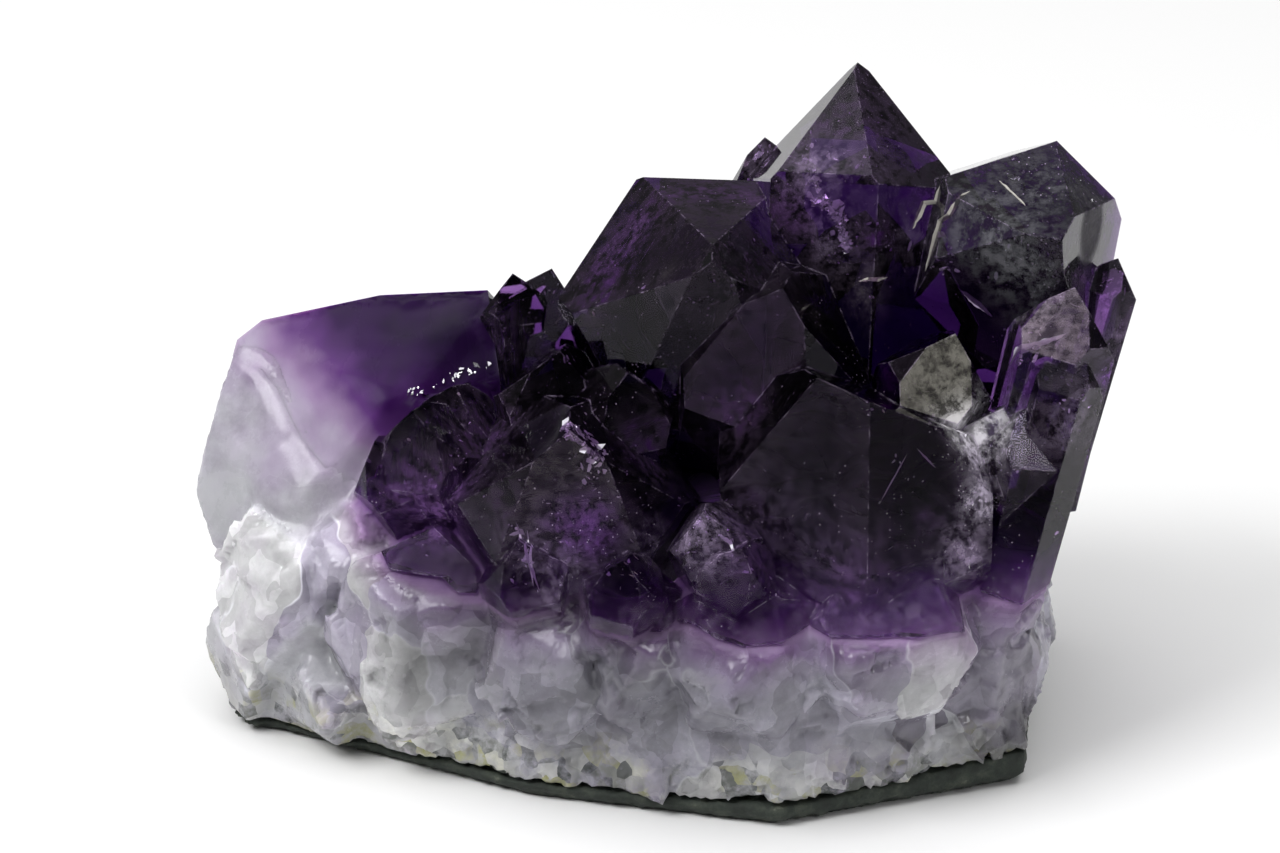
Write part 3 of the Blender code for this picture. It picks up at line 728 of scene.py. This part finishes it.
def plates(centres, facing, sizes, stretch, rng):
    """Small flat closed chips with five uneven corners, as corners and triangles."""
    count = len(centres)
    helper = np.where(np.abs(facing[:, 2:3]) < 0.9, [[0.0, 0.0, 1.0]], [[1.0, 0.0, 0.0]])
    across = np.cross(facing, helper)
    across /= np.linalg.norm(across, axis=1)[:, None]
    along = np.cross(facing, across)
    spin = rng.uniform(0, 2 * np.pi, count)[:, None]
    first = np.cos(spin) * across + np.sin(spin) * along
    second = np.cos(spin) * along - np.sin(spin) * across
    corners = []
    for k in range(CHIP_RIM):
        angle = 2 * np.pi * (k + rng.uniform(-0.3, 0.3, count)) / CHIP_RIM
        radius = sizes * rng.uniform(0.5, 1.0, count)
        corners.append(centres + first * (radius * np.cos(angle) * stretch)[:, None]
                       + second * (radius * np.sin(angle))[:, None])
    thick = np.maximum(0.02, 0.05 * sizes)[:, None]
    corners += [centres + facing * thick, centres - facing * thick]
    places = np.stack(corners, axis=1).reshape(-1, 3)
    start = CHIP_CORNERS * np.arange(count)[:, None]
    rim = [[k, (k + 1) % CHIP_RIM, CHIP_RIM] for k in range(CHIP_RIM)]
    rim += [[(k + 1) % CHIP_RIM, k, CHIP_RIM + 1] for k in range(CHIP_RIM)]
    faces = (start[:, :, None] + np.array(rim)[None]).reshape(-1, 3)
    return places, faces


def sliver(first, last, width, sunk, rng):
    """A long thin closed blade between two places, widest near its middle, that keeps under the faces."""

    def settled(place):
        near = surface.find_nearest(Vector(place) * MM)
        return (np.array(near[0][:]) - np.array(near[1][:]) * sunk * MM) / MM

    first, last = settled(first), settled(last)
    way = (last - first) / np.linalg.norm(last - first)
    side = np.cross(way, [0.25, -0.9, 0.35])
    side /= np.linalg.norm(side)
    out = np.cross(side, way)
    rings = 12
    places = [first]  # one corner at each end, four at every ring between
    for k in range(1, rings):
        share = k / rings
        half = 0.5 * width * math.sin(math.pi * share) ** 0.7 * rng.uniform(0.7, 1.15)
        centre = settled(first + (last - first) * share + side * rng.uniform(-0.12, 0.12) * width)
        places += [centre + side * half, centre + out * 0.03, centre - side * half, centre - out * 0.03]
    places.append(last)
    faces = [(0, 1 + k, 1 + (k + 1) % 4) for k in range(4)]
    for ring in range(rings - 2):
        here, there = 1 + 4 * ring, 5 + 4 * ring
        for k in range(4):
            following = (k + 1) % 4
            faces.append((here + k, there + k, there + following))
            faces.append((here + k, there + following, here + following))
    tail = 1 + 4 * (rings - 2)
    faces += [(tail + k, len(places) - 1, tail + (k + 1) % 4) for k in range(4)]
    return np.array(places), np.array(faces)


def crack_finish(name, colour, roughness, metallic):
    f = Finish(name)
    grain = f.noise(900, 5, 0.7)
    speckled = f.blend(0.6, colour, f.ramp(grain, (0.35, 0.55), (0.65, 1.0)), "MULTIPLY")
    f.link(speckled, f.shader.inputs["Base Color"])
    f.link(f.ramp(grain, (0.3, roughness), (0.7, roughness + 0.2)), f.shader.inputs["Roughness"])
    f.fixed(Metallic=metallic)
    return f.material


rng = np.random.default_rng(71)
solid = bmesh.new()
solid.from_mesh(frame["nodes"]["amethyst_crystals"].data)
bmesh.ops.triangulate(solid, faces=solid.faces[:])
surface = BVHTree.FromBMesh(solid)
corners = np.array([[v.co[:] for v in face.verts] for face in solid.faces])
facing = np.array([face.normal[:] for face in solid.faces])
area = np.array([face.calc_area() for face in solid.faces])
solid.free()
pick = rng.choice(len(area), TRIED, p=area / area.sum())
mix = rng.dirichlet((1, 1, 1), len(pick))
places = np.einsum("ij,ijk->ik", mix, corners[pick]) / MM
outward = facing[pick]
swarm = smooth((cloud(places, 4.5, 51) - 0.12) / 0.35) * 0.12 + 0.6 * veils_and_painted_light(places)[:, 3]
above = places[:, 2] - root_height(places[:, 0], places[:, 1])
swarm *= smooth((above - 1) / 4) * (block_depth(places) < -0.5)
chosen = np.flatnonzero(rng.uniform(0, 1, len(places)) < swarm)[:FLAKES]
# A flake lies under its face, mostly close to it, where the crystal is deep enough to hold it.
depth = np.clip(rng.exponential(1.1, len(chosen)) + 0.15, 0.15, 4.5)
kept = []
for i, down in zip(chosen, depth):
    inward = Vector(-outward[i])
    hit = surface.ray_cast(Vector(places[i]) * MM + inward * 0.02 * MM, inward)
    if hit[0] is not None and hit[3] > (down + 0.4) * MM:
        kept.append((i, down))
chosen = np.array([i for i, _ in kept])
depth = np.array([d for _, d in kept])
centres = places[chosen] - outward[chosen] * depth[:, None]
cleave = np.column_stack([cloud(centres, 6, s) for s in (52, 53, 54)]) * 2
facing = cleave + outward[chosen] * 0.6 + rng.normal(0, 0.35, (len(centres), 3))
facing /= np.linalg.norm(facing, axis=1)[:, None]
sizes = np.clip(rng.lognormal(-2.1, 0.55, len(centres)), 0.05, 0.5)
kinds = rng.choice(4, len(centres), p=(0.4, 0.15, 0.15, 0.3))
parts = [plates(centres, facing, sizes, rng.uniform(1, 2.2, len(centres)), rng)]
finishes = [np.repeat(kinds, CHIP_FACES)]

for first, last, count, stray, largest in TRAILS:
    share = rng.uniform(0, 1, count)[:, None]
    around = np.array(first) * (1 - share) + np.array(last) * share + rng.normal(0, stray, (count, 3))
    nearest = [surface.find_nearest(Vector(p) * MM) for p in around]
    skin = np.array([n[0][:] for n in nearest]) / MM
    outward = np.array([n[1][:] for n in nearest])
    facing = np.array(BRIGHT_WAY) + rng.normal(0, 0.3, (count, 3))
    facing /= np.linalg.norm(facing, axis=1)[:, None]
    sizes = largest * rng.uniform(0.15, 1.0, count) ** 1.6
    centres = skin - outward * (0.1 + 0.6 * sizes + rng.uniform(0, 0.35, count))[:, None]
    parts.append(plates(centres, facing, sizes, rng.uniform(1, 2.5, count), rng))
    finishes.append(np.repeat(rng.choice((PALE_CRACK, SILVERY_CRACK), count, p=(0.5, 0.5)), CHIP_FACES))

for first, last, width, kind in SLIVERS:
    made = sliver(first, last, width, 0.02 if kind == BEIGE_CRACK else 0.2, rng)
    parts.append(made)
    finishes.append(np.full(len(made[1]), kind))

starts = np.cumsum([0] + [len(p) for p, _ in parts])
mesh = bpy.data.meshes.new("inner_cracks")
mesh.from_pydata((np.vstack([p for p, _ in parts]) * MM).tolist(), [],
                 np.vstack([faces + start for (_, faces), start in zip(parts, starts)]).tolist())
mesh.materials.append(crack_finish("pale crack", (0.80, 0.77, 0.86), 0.4, 0.0))
mesh.materials.append(crack_finish("silvery crack", (0.80, 0.79, 0.84), 0.12, 0.9))
mesh.materials.append(crack_finish("beige crack", (0.46, 0.44, 0.40), 0.35, 0.0))
mesh.materials.append(crack_finish("lilac crack", (0.42, 0.33, 0.50), 0.4, 0.0))
mesh.polygons.foreach_set("material_index", np.concatenate(finishes).astype(np.int32))
mesh.update()
cracks = bpy.data.objects.new("inner_cracks", mesh)
bpy.context.scene.collection.objects.link(cracks)
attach(cracks, "root")

# The rock skin. It is a thin layer of the dark green-black volcanic rock that the quartz grew on,
# broken off with the cluster: rough and dull, with pale crumbs of quartz in it.


def dark_rock():
    f = Finish("dark rock")
    blotch = f.noise(350, 8, 0.7)
    colour = f.ramp(blotch, (0.3, (0.010, 0.013, 0.010)), (0.5, (0.024, 0.032, 0.025)),
                    (0.62, (0.05, 0.06, 0.045)), (0.76, (0.18, 0.19, 0.15)))
    f.link(colour, f.shader.inputs["Base Color"])
    f.link(f.bump(blotch, 0.6, 0.6), f.shader.inputs["Normal"])
    f.fixed(Roughness=0.75)
    return f.material


rock = copied("basalt", ("basalt_rind", 0))
worked_skin(rock, GRAIN)
points = numbers(rock.data.vertices, "co") / MM
outward = numbers(rock.data.vertex_normals, "vector")
lift = 0.32 * cloud(points, 1.3, 21) + 0.2 * cloud(points, 0.6, 22)
points += outward * np.where(points[:, 2] < 0.4, 0, lift)[:, None]
points[:, 2] = np.clip(points[:, 2], 0, None)
move_to(rock.data, points)
rock.data.shade_smooth()
rock.data.materials.clear()
rock.data.materials.append(dark_rock())
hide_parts("basalt_rind")
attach(rock, "root")

# The table, the lights and the camera. The cluster stands on a plain pale table, under one broad
# soft light straight above, a smaller one from the upper left and a weak one from the right.
body = bmesh.new()
bmesh.ops.create_grid(body, x_segments=1, y_segments=1, size=4)
mesh = bpy.data.meshes.new("table")
body.to_mesh(mesh)
body.free()
table = bpy.data.objects.new("table", mesh)
bpy.context.scene.collection.objects.link(table)
f = Finish("pale table")
f.fixed(Base_Color=(0.86, 0.86, 0.86, 1), Roughness=0.9)
mesh.materials.append(f.material)

world = bpy.data.worlds.new("studio")
bpy.context.scene.world = world
world.use_nodes = True
world.node_tree.nodes["Background"].inputs["Color"].default_value = (1, 1, 1, 1)
world.node_tree.nodes["Background"].inputs["Strength"].default_value = 0.1


MIDDLE = Vector((0, 0, 0.035))


def softbox(name, azimuth, elevation, distance, width, height, power):
    """A soft light; azimuth 0 is the camera's side, and it turns towards the right."""
    turn, lift = math.radians(azimuth), math.radians(elevation)
    towards = Vector((math.sin(turn) * math.cos(lift), -math.cos(turn) * math.cos(lift), math.sin(lift)))
    lamp = bpy.data.lights.new(name, "AREA")
    lamp.shape = "RECTANGLE"
    lamp.size = width
    lamp.size_y = height
    lamp.energy = power
    made = bpy.data.objects.new(name, lamp)
    made.location = MIDDLE + towards * distance
    made.rotation_euler = towards.to_track_quat("Z", "Y").to_euler()
    bpy.context.scene.collection.objects.link(made)


softbox("key", -60, 50, 1.0, 0.45, 0.4, 6)
softbox("above", 0, 90, 1.7, 2.2, 2.2, 34)
softbox("right", 40, 34, 0.9, 0.14, 0.12, 0.8)

ELEVATION = math.radians(25)
DISTANCE = 0.45
aim = Vector((-0.0025, -0.00285, 0.0383))
camera = bpy.data.objects.new("camera", bpy.data.cameras.new("camera"))
camera.location = aim + Vector((0, -math.cos(ELEVATION), math.sin(ELEVATION))) * DISTANCE
camera.rotation_euler = (math.pi / 2 - ELEVATION, 0, 0)
camera.data.sensor_width = 36
camera.data.lens = 107.26
camera.data.clip_start = 0.01
bpy.context.scene.collection.objects.link(camera)
bpy.context.scene.camera = camera
bpy.context.scene.view_settings.view_transform = "Standard"
